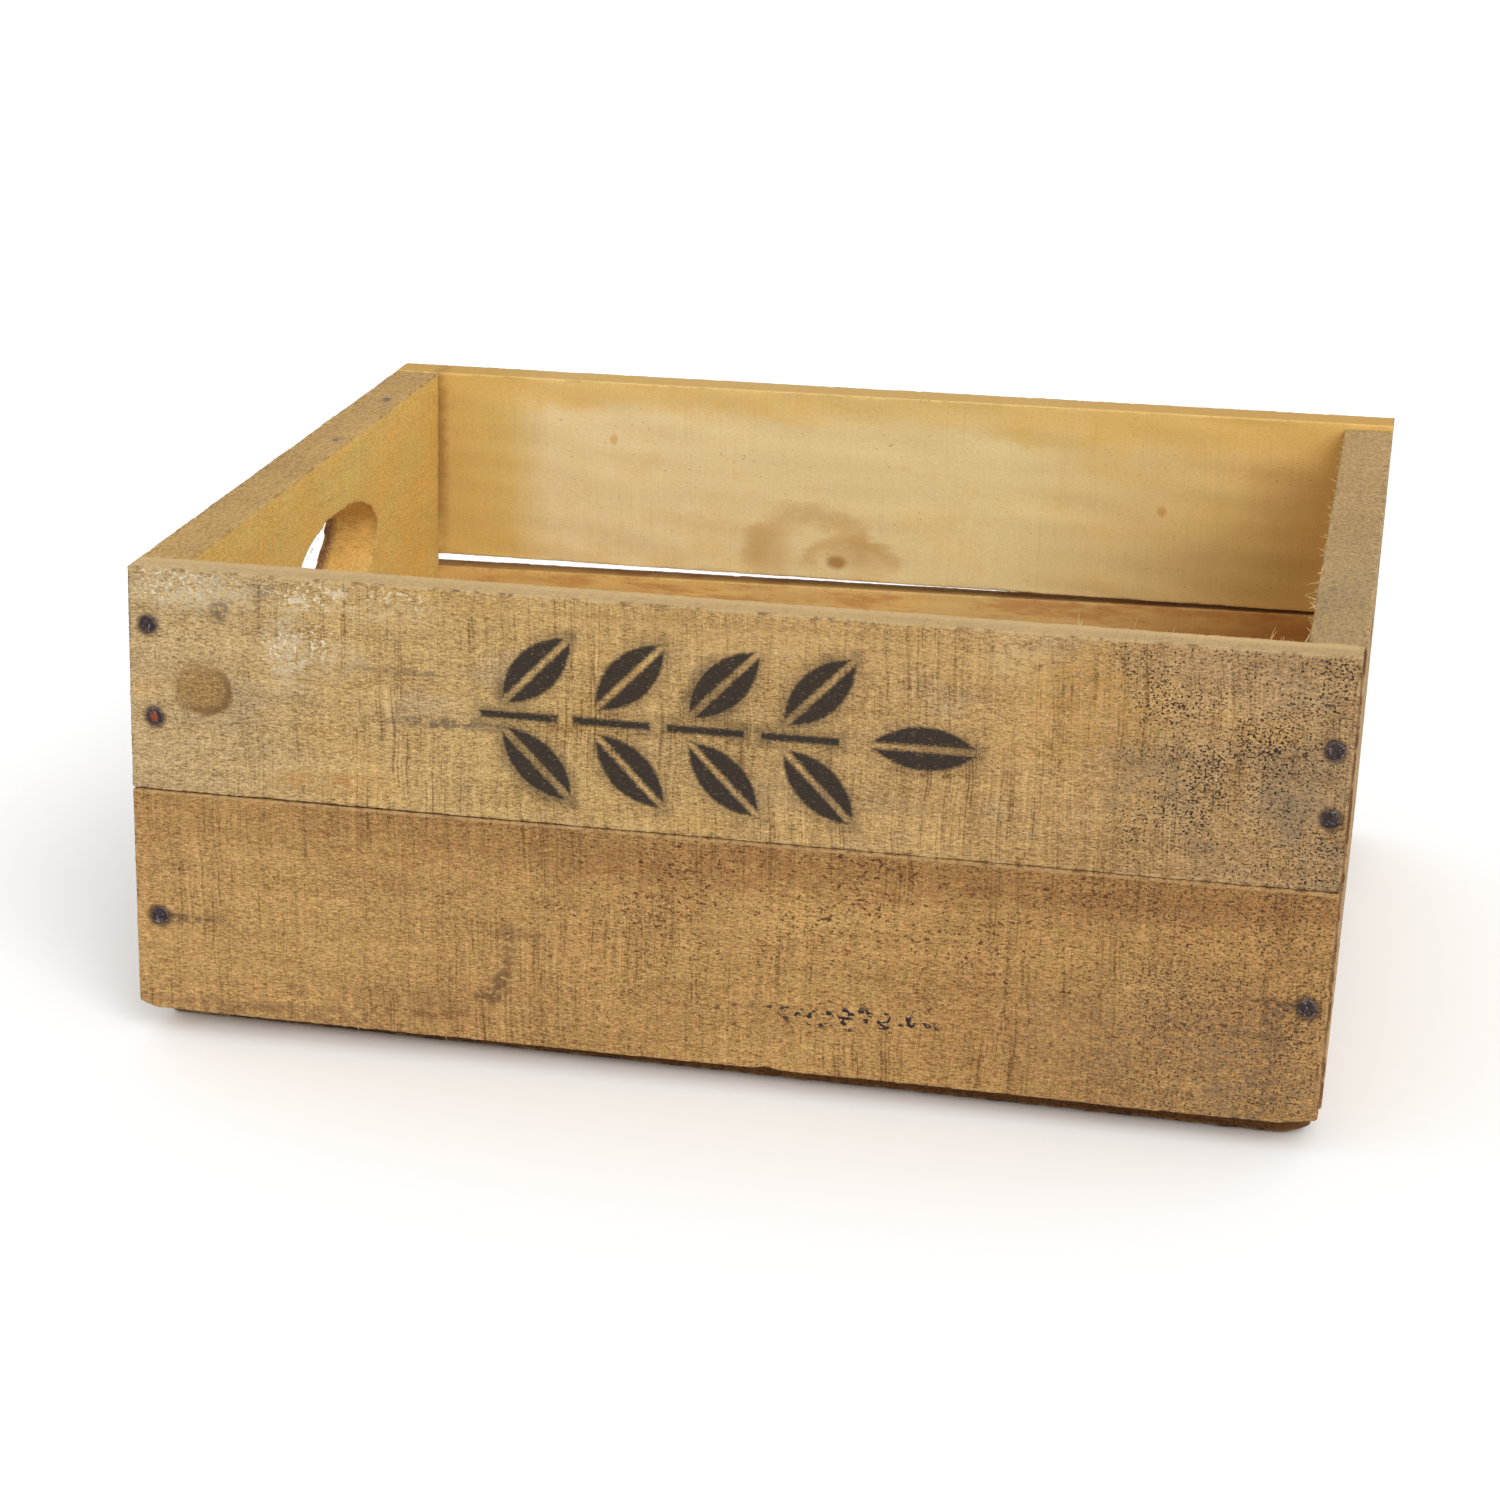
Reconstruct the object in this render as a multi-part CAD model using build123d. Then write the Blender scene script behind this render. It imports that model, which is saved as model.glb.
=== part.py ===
"""Wooden orchard crate: two end panels with hand holes, side boards, floor boards and their nails.

Frame: +X along the crate's length, the front face towards -Y, +Z up.
The origin is on the ground, under the middle of the crate.
"""

from build123d import *
import os

# Overall sizes, in millimetres.
CRATE_LENGTH = 400.0            # over the ends of the side boards, along X
CRATE_DEPTH = 300.0             # over the outer faces of the side boards, along Y
END_HEIGHT = 158.0              # the end panels, without the floor boards below them

# Boards.
END_THICKNESS = 18.0
FRONT_THICKNESS = 12.0
BACK_UPPER_THICKNESS = 14.0
BACK_LOWER_THICKNESS = 10.0
FRONT_LOWER_WIDTH = 80.0        # the front upper board fills the rest of the height
FRONT_JOINT_GAP = 0.5
BACK_UPPER_WIDTH = 76.5
BACK_UPPER_RISE = 2.0           # the right end is nailed on this much higher than the left
BACK_GAP_LEFT = 5.5             # between the two back boards, at their left ends
BACK_GAP_RIGHT = 1.2            # the same, at their right ends
FLOOR_THICKNESS = 10.0
FLOOR_SIDE_MARGIN = 16.0        # from the crate's front or back face in to the floor boards
FLOOR_GAP = 14.0                # between the floor boards, which share out the rest of the depth
FLOOR_END_INSET = 3.0           # from the end panel's outer face in to a floor board's end
FLOOR_FRONT_SKEW = 3.5          # the front floor board's ends stand this far out of square

# Hand hole, the same in both end panels: a long oval.
HAND_HOLE_LENGTH = 94.0
HAND_HOLE_HEIGHT = 37.5
HAND_HOLE_BELOW_RIM = 24.5      # from the top of the end panel down to the oval
HAND_HOLE_SHIFT = 9.0           # the oval is sawn this far towards the back of the middle

# Round wire nails, with flat heads driven into the wood.
SIDE_NAIL = {"length": 45.0, "shank": 2.8, "head": 6.0, "head_thick": 1.2, "proud": 0.3}
FLOOR_NAIL = {"length": 30.0, "shank": 2.2, "head": 5.0, "head_thick": 1.0, "proud": -0.2}
NAIL_POINT = 4.5                # length of the four-sided point
NAIL_TIP = 0.3                  # width left at its very end
HEAD_BEVEL = 0.25               # round the rim of a nail head
SHANK_FIT = 0.02                # all round the shank, in the wood
HEAD_FIT = 0.15                 # all round the head, in the seat it is driven into
FLOOR_NAIL_SPACING = 50.0       # between the two nails in one end of a floor board

# Each nail of a side board: how far in from the board's end, how far above its middle line.
FRONT_NAILS = {
    "upper_left": [(6.5, 19.0), (8.0, -13.0)],
    "upper_right": [(6.5, 8.0), (6.0, -14.5)],
    "lower_left": [(7.5, -5.5)],
    "lower_right": [(7.5, 0.5)],
}
BACK_NAILS = {
    "upper_left": [(7.0, 17.0), (8.0, -16.0)],
    "upper_right": [(8.0, 18.0), (6.5, -15.0)],
    "lower_left": [(7.0, 2.0)],
    "lower_right": [(8.0, -3.0)],
}

# Levels and faces that follow from the sizes above.
HALF_LENGTH = CRATE_LENGTH / 2
FRONT_FACE = -CRATE_DEPTH / 2
BACK_FACE = CRATE_DEPTH / 2
FRONT_INNER = FRONT_FACE + FRONT_THICKNESS
BACK_INNER = BACK_FACE - BACK_UPPER_THICKNESS
BASE = FLOOR_THICKNESS          # underside of the end panels and of the lower side boards
RIM = BASE + END_HEIGHT
HOLE_TOP = RIM - HAND_HOLE_BELOW_RIM
HOLE_MIDDLE = HOLE_TOP - HAND_HOLE_HEIGHT / 2
FLOOR_NAIL_INSET = END_THICKNESS / 2
FLOOR_SPAN = CRATE_DEPTH - 2 * FLOOR_SIDE_MARGIN
FLOOR_BOARD_WIDTH = (FLOOR_SPAN - 2 * FLOOR_GAP) / 3
FLOOR_PITCH = FLOOR_BOARD_WIDTH + FLOOR_GAP


def nail(size):
    """One wire nail, its flat head at the top and its point down -Z, with the wood's surface at z = 0."""
    head_low = size["proud"] - size["head_thick"]
    head = Pos(0, 0, head_low) * extrude(Circle(size["head"] / 2), size["head_thick"])
    head = chamfer(head.edges().group_by(Axis.Z)[-1], HEAD_BEVEL)
    point_top = NAIL_POINT - size["length"] + size["proud"]
    shank = Pos(0, 0, point_top) * extrude(Circle(size["shank"] / 2), head_low - point_top)
    square = RegularPolygon(size["shank"] / 2, 4)
    tip = RegularPolygon(NAIL_TIP / 2, 4)
    point = loft([Pos(0, 0, point_top - NAIL_POINT) * tip, Pos(0, 0, point_top) * square])
    return head + shank + point


def nail_hole(size):
    """The hole and head seat that a nail leaves in the wood, with the wood's surface at z = 0."""
    depth = size["length"] - size["proud"]
    bore = Pos(0, 0, -depth) * extrude(Circle(size["shank"] / 2 + SHANK_FIT), depth)
    seat_low = size["proud"] - size["head_thick"]
    seat = Pos(0, 0, seat_low) * extrude(Circle(size["head"] / 2 + HEAD_FIT), size["head_thick"] + 1)
    return bore + seat


def side_board(inner, thickness, left, right):
    """A side board on its nailing face at y = inner; left and right are its (low, high) levels there."""
    outline = Polyline(
        (-HALF_LENGTH, left[0]),
        (HALF_LENGTH, right[0]),
        (HALF_LENGTH, right[1]),
        (-HALF_LENGTH, left[1]),
        close=True,
    )
    board = extrude(Plane.XZ * make_face(outline), -thickness)
    return Pos(0, inner, 0) * board


def floor_board(middle, skew):
    """A floor board lying flat, its middle line at y = middle, turned so that its left end goes back."""
    reach = HALF_LENGTH - FLOOR_END_INSET
    half = FLOOR_BOARD_WIDTH / 2
    outline = Polyline(
        (-reach, middle - half + skew),
        (reach, middle - half - skew),
        (reach, middle + half - skew),
        (-reach, middle + half + skew),
        close=True,
    )
    return extrude(make_face(outline), FLOOR_THICKNESS)


def end_panel(side):
    """An end panel with its hand hole; side is -1 on the left and +1 on the right."""
    depth = BACK_INNER - FRONT_INNER
    panel = Box(END_THICKNESS, depth, END_HEIGHT, align=(Align.CENTER, Align.MIN, Align.MIN))
    middle_x = side * (HALF_LENGTH - END_THICKNESS / 2)
    panel = Pos(middle_x, FRONT_INNER, BASE) * panel
    oval = extrude(Plane.YZ * Ellipse(HAND_HOLE_LENGTH / 2, HAND_HOLE_HEIGHT / 2), END_THICKNESS, both=True)
    return panel - Pos(middle_x, HAND_HOLE_SHIFT, HOLE_MIDDLE) * oval


def side_nail_places(nails, middle_left, middle_right, face, turn):
    """Where a board's nails go, by board end; turn lays a nail's head against the face at y = face."""
    slope = (middle_right - middle_left) / CRATE_LENGTH
    places = {}
    for end, sign, spots in (("left", -1, nails[0]), ("right", 1, nails[1])):
        places[end] = []
        for inset, above in spots:
            x = sign * (HALF_LENGTH - inset)
            middle = middle_left + slope * (x + HALF_LENGTH)
            places[end].append(Location((x, face, middle + above), (turn, 0, 0)))
    return places


def floor_nail_places(middle, skew):
    """Where a floor board's nails go, by board end, driven up into the end panels."""
    reach = HALF_LENGTH - FLOOR_END_INSET
    places = {}
    for end, sign in (("left", -1), ("right", 1)):
        x = sign * (HALF_LENGTH - FLOOR_NAIL_INSET)
        line = middle - skew * x / reach
        spots = (line - FLOOR_NAIL_SPACING / 2, line + FLOOR_NAIL_SPACING / 2)
        places[end] = [Location((x, y, 0), (180, 0, 0)) for y in spots]
    return places


def side_boards():
    """The four side boards with their levels and nail places, by name."""
    front_seam = BASE + FRONT_LOWER_WIDTH
    upper_low = front_seam + FRONT_JOINT_GAP
    back_left = RIM - BACK_UPPER_WIDTH
    back_right = back_left + BACK_UPPER_RISE
    rows = {
        "front_upper": (FRONT_INNER, -FRONT_THICKNESS, (upper_low, RIM), (upper_low, RIM)),
        "front_lower": (FRONT_INNER, -FRONT_THICKNESS, (BASE, front_seam), (BASE, front_seam)),
        "back_upper": (BACK_INNER, BACK_UPPER_THICKNESS, (back_left, RIM),
                       (back_right, RIM + BACK_UPPER_RISE)),
        "back_lower": (BACK_INNER, BACK_LOWER_THICKNESS, (BASE, back_left - BACK_GAP_LEFT),
                       (BASE, back_right - BACK_GAP_RIGHT)),
    }
    boards = {}
    for name, (inner, thickness, left, right) in rows.items():
        wall, level = name.split("_")
        nails = FRONT_NAILS if wall == "front" else BACK_NAILS
        turn = 90 if wall == "front" else -90
        places = side_nail_places((nails[level + "_left"], nails[level + "_right"]),
                                  sum(left) / 2, sum(right) / 2, inner + thickness, turn)
        boards[name] = (side_board(inner, thickness, left, right), places, SIDE_NAIL)
    return boards


def floor_boards():
    """The three floor boards with their nail places, by name; only the front one lies askew."""
    boards = {}
    for name, step, skew in (("front", -1, FLOOR_FRONT_SKEW), ("middle", 0, 0.0), ("back", 1, 0.0)):
        middle = step * FLOOR_PITCH
        places = floor_nail_places(middle, skew)
        boards["floor_" + name] = (floor_board(middle, skew), places, FLOOR_NAIL)
    return boards


def crate():
    """Every node of the crate, by name; each nail's hole is cut from the two pieces it joins."""
    panels = {"left": end_panel(-1), "right": end_panel(1)}
    nodes = {}
    for name, (board, places, size) in (side_boards() | floor_boards()).items():
        for end, spots in places.items():
            holes = [spot * nail_hole(size) for spot in spots]
            board -= holes
            panels[end] -= holes
            nodes[f"{name}_{end}_nails"] = Compound(children=[spot * nail(size) for spot in spots])
        nodes[name + "_board"] = board
    nodes["left_end_panel"] = panels["left"]
    nodes["right_end_panel"] = panels["right"]
    return nodes


os.makedirs("parts", exist_ok=True)
for node_name, shape in crate().items():
    export_step(shape, f"parts/{node_name}.step")
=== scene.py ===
"""The looks of the wooden orchard crate: rough-sawn boards, wire nails, stencil paint and wear."""

import functools
import math

import bmesh
import bpy
import numpy as np
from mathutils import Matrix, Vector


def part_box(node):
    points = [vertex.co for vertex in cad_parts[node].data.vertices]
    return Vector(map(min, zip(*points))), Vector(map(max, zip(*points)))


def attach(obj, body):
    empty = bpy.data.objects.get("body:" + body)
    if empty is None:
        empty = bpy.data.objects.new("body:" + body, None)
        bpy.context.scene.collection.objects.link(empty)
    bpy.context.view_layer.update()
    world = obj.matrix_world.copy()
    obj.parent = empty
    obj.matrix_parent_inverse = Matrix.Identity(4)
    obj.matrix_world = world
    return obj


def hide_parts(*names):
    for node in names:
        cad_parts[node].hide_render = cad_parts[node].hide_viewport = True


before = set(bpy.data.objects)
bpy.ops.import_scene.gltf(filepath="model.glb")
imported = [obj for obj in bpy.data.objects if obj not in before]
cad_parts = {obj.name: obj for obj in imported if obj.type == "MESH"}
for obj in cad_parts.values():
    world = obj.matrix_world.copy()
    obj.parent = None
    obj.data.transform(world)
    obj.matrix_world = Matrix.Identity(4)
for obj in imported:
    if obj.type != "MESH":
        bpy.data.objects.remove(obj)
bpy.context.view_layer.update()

MM = 0.001
# The old crate leans to its right: so far along X for each metre of height, about its middle height.
LEAN = 0.0207
LEAN_LEVEL = 89 * MM

BOARD_STEP = 1.2 * MM       # how far apart a skin's points stand
PANEL_STEP = 1.6 * MM
EDGE_STRIP = 2.4 * MM       # along every arris, where a skin's points stand closer together
TORN_REACH = 1.4 * MM       # how far in from an arris the saw tore the wood
SEAT_DEPTH = 0.35 * MM      # how far the wood is pressed in under a nail's head
SEAT_REACH = 3.7 * MM
NAIL_GAP = 6 * MM           # a wider gap than this parts two nails of one CAD node
SIDE_NAIL = (45 * MM, 2.8 * MM, 6 * MM)     # length, shank and head
FLOOR_NAIL = (30 * MM, 2.2 * MM, 5 * MM)

# Places that the finishes use, in millimetres in the crate's frame.
FRONT_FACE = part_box("front_upper_board")[0][1] / MM
BACK_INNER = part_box("back_upper_board")[0][1] / MM
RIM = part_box("left_end_panel")[1][2] / MM
PANEL_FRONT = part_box("left_end_panel")[0][1] / MM
LOWER_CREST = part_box("front_lower_board")[1][2] / MM
THROUGH = 1000.0            # the reach of a mark through a board's thickness

LIGHT_LEVEL = 1.22          # how bright the studio's light makes a white surface that faces the camera
ORANGE = (236, 194, 106)    # an orange tone laid in patches and near the top inside the back boards


# ---------------------------------------------------------------- shapes


def ripples(points, sizes, terms, seed):
    """Smooth noise of unit spread: the sum of cosine waves of about the given sizes along X, Y and Z."""
    rng = np.random.default_rng(seed)
    waves = rng.normal(size=(terms, 3)) * 2 * math.pi / np.array(sizes)
    phases = rng.uniform(0, 2 * math.pi, terms)
    total = np.zeros(len(points))
    for wave, phase in zip(waves, phases):
        total += np.cos(points @ wave + phase)
    return total * math.sqrt(2 / terms)


def stations(length, step):
    """Places from -length/2 to length/2 a step apart, closer together in the strip at either end."""
    near = np.array([0.0, 0.1, 0.25, 0.5]) * EDGE_STRIP
    count = max(2, int(round((length - 2 * EDGE_STRIP) / step)) + 1)
    middle = np.linspace(EDGE_STRIP, length - EDGE_STRIP, count)
    return np.concatenate([near, middle, (length - near)[::-1]]) - length / 2


def grid_faces(rows, columns, closed_rows=False):
    """The four-sided faces of a grid whose columns join round; closed_rows joins its rows as well."""
    row, column = np.meshgrid(np.arange(rows - (not closed_rows)), np.arange(columns), indexing="ij")
    next_row = (row + 1) % rows
    next_column = (column + 1) % columns
    corners = [row * columns + column, row * columns + next_column,
               next_row * columns + next_column, next_row * columns + column]
    return np.stack([corner.ravel() for corner in corners], 1)


def box_skin(size, step):
    """A closed box of (length, width, thickness): a loop round its section, carried along its length.

    Past each end the loop draws in to the middle line of the end, which closes it."""
    length, width, thick = size
    along, across, through = (stations(span, step) for span in size)
    half_w = width / 2
    half_t = thick / 2
    side = through[1:-1]
    loop = np.concatenate([
        np.stack([across, np.full(len(across), half_t)], 1),
        np.stack([np.full(len(side), half_w), -side], 1),
        np.stack([across[::-1], np.full(len(across), -half_t)], 1),
        np.stack([np.full(len(side), -half_w), side], 1),
    ])
    inset = (through + half_t)[through <= 0]
    inset = np.append(inset[1:], half_t)
    drawn = np.concatenate([inset[::-1], np.zeros(len(along)), inset])
    place = np.concatenate([np.full(len(inset), -length / 2), along, np.full(len(inset), length / 2)])
    wide = np.clip(loop[None, :, 0], -(half_w - drawn[:, None]), half_w - drawn[:, None])
    deep = np.clip(loop[None, :, 1], -(half_t - drawn[:, None]), half_t - drawn[:, None])
    points = np.stack([np.repeat(place[:, None], len(loop), 1), wide, deep], 2)
    return points.reshape(-1, 3), grid_faces(len(drawn), len(loop))


def rounded(points, half, radius):
    """A box's skin with its arrises worn round: each point is drawn to radius from the box inside."""
    inside = np.clip(points, -(half - radius), half - radius)
    away = points - inside
    reach = np.linalg.norm(away, axis=1, keepdims=True)
    return inside + away * np.minimum(1, radius / np.maximum(reach, 1e-9))


def arris_gap(points, half):
    """How far each point of a box's skin lies from the nearest arris."""
    return np.sort(half - np.abs(points), axis=1)[:, 1]


def lean(points):
    """The crate's lean: points move along X in step with their height."""
    moved = points.copy()
    moved[:, 0] += LEAN * (points[:, 2] - LEAN_LEVEL)
    return moved


def fray(points, sizes, amount, seed):
    """Moves points by ripples along each axis in turn, by amount, where the saw tore the wood."""
    for axis in range(3):
        points[:, axis] += amount * ripples(points, sizes, 16, seed + axis)


def join(parts):
    """Several (points, faces) surfaces as one."""
    starts = np.cumsum([0] + [len(points) for points, _ in parts])
    points = np.concatenate([points for points, _ in parts])
    faces = np.concatenate([faces + start for (_, faces), start in zip(parts, starts)])
    return points, faces


def piece_from(name, points, faces, values):
    """A smooth closed piece at the origin; values are named numbers kept at each point."""
    mesh = bpy.data.meshes.new(name)
    mesh.from_pydata(lean(points).tolist(), [], faces.tolist())
    for label, numbers in values.items():
        mesh.attributes.new(label, "FLOAT", "POINT").data.foreach_set("value", numbers)
    shell = bmesh.new()
    shell.from_mesh(mesh)
    bmesh.ops.remove_doubles(shell, verts=shell.verts, dist=1e-6)
    bmesh.ops.recalc_face_normals(shell, faces=shell.faces)
    shell.to_mesh(mesh)
    shell.free()
    mesh.polygons.foreach_set("use_smooth", np.ones(len(mesh.polygons), bool))
    piece = bpy.data.objects.new(name, mesh)
    bpy.context.scene.collection.objects.link(piece)
    return piece


def settle(piece, material, slot, *nodes):
    """Gives a piece its material and its body, and lets it stand for its CAD nodes; slot is not used."""
    piece.data.materials.append(material)
    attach(piece, "root")
    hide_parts(*nodes)


def cad_points(node):
    """The corner points of a CAD node."""
    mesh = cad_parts[node].data
    points = np.zeros(len(mesh.vertices) * 3)
    mesh.vertices.foreach_get("co", points)
    return points.reshape(-1, 3)


def end_span(node, axis):
    """A board's lowest and highest place along an axis, at its left end and at its right end."""
    points = cad_points(node)
    ends = []
    for end in (points[:, 0].min(), points[:, 0].max()):
        there = points[np.abs(points[:, 0] - end) < 0.1 * MM, axis]
        ends.append((there.min(), there.max()))
    return ends


def nail_middles(node):
    """The middle of each nail of a CAD node, whose points are split where their widest gap is."""
    points = cad_points(node)
    line = points[:, 1 if node.startswith("floor") else 2]
    levels = np.unique(line.round(5))
    gaps = np.diff(levels)
    groups = [points]
    if gaps.max() > NAIL_GAP:
        cut = levels[gaps.argmax()] + gaps.max() / 2
        groups = [points[line < cut], points[line > cut]]
    return [(group.min(0) + group.max(0)) / 2 for group in groups]


def pressed_in(points, board, axis):
    """1 under a board's nail heads, falling off smoothly to 0 past their rims."""
    flat = [k for k in range(3) if k != axis]
    pressed = np.zeros(len(points))
    for end in ("left", "right"):
        for middle in nail_middles(f"{board}_{end}_nails"):
            away = np.linalg.norm(points[:, flat] - middle[flat], axis=1)
            pressed += np.exp(-((away / SEAT_REACH) ** 4))
    return pressed


def splinters(roots, ways, lengths, widths, seed):
    """Torn fibres: four-sided needles, each curving from its root along its way to a fine tip."""
    rng = np.random.default_rng(seed)
    rings = 5
    sides = 4
    part = np.linspace(0, 1, rings)
    ways = ways / np.linalg.norm(ways, axis=1, keepdims=True)
    side = np.cross(ways, rng.normal(size=ways.shape))
    side /= np.linalg.norm(side, axis=1, keepdims=True)
    up = np.cross(ways, side)
    bend = rng.uniform(-0.3, 0.3, (len(roots), 1))
    core = (roots[:, None] + ways[:, None] * (lengths[:, None] * part)[..., None]
            + side[:, None] * (bend * lengths[:, None] * part ** 2)[..., None])
    thick = widths[:, None] * (1 - part) ** 0.7 + 0.02 * MM
    angle = np.arange(sides) * 2 * math.pi / sides
    ring = (side[:, None, None] * np.cos(angle)[None, None, :, None]
            + up[:, None, None] * 0.5 * np.sin(angle)[None, None, :, None])
    points = core[:, :, None] + ring * thick[:, :, None, None]
    last = (rings - 1) * sides
    caps = np.array([[3, 2, 1, 0], [last, last + 1, last + 2, last + 3]])
    faces = np.concatenate([grid_faces(rings, sides), caps])
    starts = np.arange(len(roots)) * rings * sides
    return points.reshape(-1, 3), (faces[None] + starts[:, None, None]).reshape(-1, 4)


# ---------------------------------------------------------------- finishes


def tint(red, green, blue):
    """A colour given as it looks in the studio's light, in 0 to 255, as a linear surface colour."""
    share = np.array([red, green, blue]) / 255
    linear = np.where(share <= 0.04045, share / 12.92, ((share + 0.055) / 1.055) ** 2.4)
    return (*(float(part) for part in linear / LIGHT_LEVEL), 1.0)


class Recipe:
    """Adds nodes to a tree; what feeds a socket may be a number, a colour or another node's socket."""

    def __init__(self, tree):
        self.tree = tree

    def feed(self, socket, value):
        if isinstance(value, bpy.types.NodeSocket):
            self.tree.links.new(value, socket)
        else:
            socket.default_value = value

    def add(self, kind, feeds, **settings):
        node = self.tree.nodes.new("ShaderNode" + kind)
        for label, value in settings.items():
            setattr(node, label, value)
        for label, value in feeds.items():
            self.feed(node.inputs[label], value)
        return node

    def maths(self, operation, *values):
        return self.add("Math", dict(enumerate(values)), operation=operation).outputs[0]

    def total(self, *values):
        return functools.reduce(lambda first, second: self.maths("ADD", first, second), values)

    def times(self, *values):
        return functools.reduce(lambda first, second: self.maths("MULTIPLY", first, second), values)

    def minus(self, first, second):
        return self.maths("SUBTRACT", first, second)

    def swing(self, noise, amount):
        """A noise about zero instead of a half, times amount."""
        return self.times(self.minus(noise, 0.5), amount)

    def vector(self, operation, *values):
        node = self.add("VectorMath", dict(enumerate(values)), operation=operation)
        return node.outputs["Value" if operation in ("LENGTH", "DISTANCE") else "Vector"]

    def mix(self, share, first, second, way="MIX"):
        feeds = {0: share, 6: first, 7: second}
        return self.add("Mix", feeds, data_type="RGBA", blend_type=way).outputs[2]

    def band(self, value, low, high, to_low=0.0, to_high=1.0):
        """A smooth step from to_low at low to to_high at high."""
        feeds = {0: value, 1: low, 2: high, 3: to_low, 4: to_high}
        return self.add("MapRange", feeds, interpolation_type="SMOOTHSTEP").outputs[0]

    def noise(self, position, size, detail=2.0, rough=0.5):
        """Noise whose lumps are about size long along X, Y and Z, in millimetres."""
        scaled = self.vector("MULTIPLY", position, tuple(1 / part for part in size))
        feeds = {"Vector": scaled, "Scale": 1.0, "Detail": detail, "Roughness": rough}
        return self.add("TexNoise", feeds).outputs[0]

    def ramp(self, value, stops):
        """A colour read off along a list of (place, colour), both ends held."""
        low = stops[0][0]
        reach = stops[-1][0] - low
        share = self.maths("DIVIDE", self.minus(value, low), reach)
        node = self.add("ValToRGB", {0: share})
        bar = node.color_ramp.elements
        while len(bar) < len(stops):
            bar.new(0.5)
        for element, (place, _) in zip(bar, stops):
            element.position = (place - low) / reach
        for element, (_, colour) in zip(bar, stops):
            element.color = colour
        return node.outputs[0]

    def use(self, group, **feeds):
        node = self.tree.nodes.new("ShaderNodeGroup")
        node.node_tree = group
        for label, value in feeds.items():
            self.feed(node.inputs[label.replace("_", " ")], value)
        return node.outputs


SOCKETS = {"vector": "NodeSocketVector", "value": "NodeSocketFloat", "colour": "NodeSocketColor"}


def effect(name, takes, gives, build):
    """A shader node group; takes and gives are {socket name: kind}, and build returns its results."""
    group = bpy.data.node_groups.new(name, "ShaderNodeTree")
    for direction, sockets in (("INPUT", takes), ("OUTPUT", gives)):
        for label, kind in sockets.items():
            group.interface.new_socket(name=label, in_out=direction, socket_type=SOCKETS[kind])
    given = group.nodes.new("NodeGroupInput").outputs
    result = group.nodes.new("NodeGroupOutput").inputs
    for label, socket in build(Recipe(group), given).items():
        group.links.new(socket, result[label])
    return group


def swayed(r, place, size, reach):
    """A place moved along the grain by slow noise, so that lines across the grain wander."""
    along = r.times(r.noise(place, size, 1.0), reach)
    return r.vector("ADD", place, r.add("CombineXYZ", {0: along}).outputs[0])


def build_sawn_grain(r, given):
    """A ground colour broken up by torn dashes along the grain (X), grit, and saw lines across it."""
    place = given["Position"]
    streak = r.noise(place, (90, 30, 6), 3.0, 0.6)
    patch = r.noise(place, (36, 30, 18), 3.0)
    dash = r.noise(place, (3.4, 1.6, 0.95), 2.0, 0.65)
    fibre = r.noise(place, (1.9, 0.9, 0.55), 2.0, 0.6)
    grit = r.noise(place, (0.75, 0.75, 0.55), 1.0)
    moved = swayed(r, place, (70, 60, 25), 4.0)
    hairline = r.noise(moved, (0.8, 1000, 34), 1.0)
    saw_band = r.noise(moved, (3.6, 1000, 90), 2.0, 0.6)
    clusters = r.noise(place, (30, 1000, 40), 2.0)
    crowd = r.band(clusters, 0.36, 0.64, 0.35, 1.0)
    saw = r.total(
        r.band(hairline, 0.57, 0.70, 0.0, -0.30),
        r.band(hairline, 0.42, 0.30, 0.0, 0.18),
        r.swing(saw_band, 0.55),
    )
    deviation = r.total(
        r.swing(streak, given["Streaks"]),
        r.swing(patch, given["Patches"]),
        r.swing(fibre, 1.5),
        r.swing(grit, 1.1),
        r.band(dash, 0.60, 0.72, 0.0, -0.18),
        r.band(dash, 0.40, 0.28, 0.0, 0.22),
        r.times(saw, crowd, given["Saw"]),
    )
    shade = r.maths("MULTIPLY_ADD", deviation, given["Contrast"], 0.5)
    tone = r.mix(shade, (0.40, 0.33, 0.24, 1.0), (1.60, 1.67, 1.84, 1.0))
    height = r.total(
        r.times(dash, -0.55),
        r.times(fibre, 0.36),
        r.times(grit, 0.26),
        r.times(hairline, given["Saw"], -0.12),
    )
    return {"Colour": r.mix(1.0, given["Ground"], tone, "MULTIPLY"),
            "Height": r.times(height, given["Contrast"])}


def build_saw_marks(r, given):
    """Single deep lines across the grain, where a tooth stood out, gathered in bands."""
    place = given["Position"]
    moved = swayed(r, place, (60, 60, 30), 5.0)
    line = r.noise(moved, (0.8, 1000, 32), 2.0, 0.6)
    wide = r.noise(moved, (2.8, 1000, 50), 2.0, 0.6)
    group = r.noise(place, (26, 1000, 34), 2.0)
    broken = r.noise(place, (1.2, 1.2, 1.6), 2.0, 0.6)
    share = r.times(r.band(group, 0.38, 0.62), r.band(broken, 0.34, 0.56))
    dark = r.times(r.band(line, 0.57, 0.70), 0.8)
    deep = r.times(r.band(wide, 0.62, 0.69), 0.6)
    mask = r.times(r.total(dark, deep), share, given["Amount"])
    return {"Mask": mask, "Height": r.times(mask, -0.14)}


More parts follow.
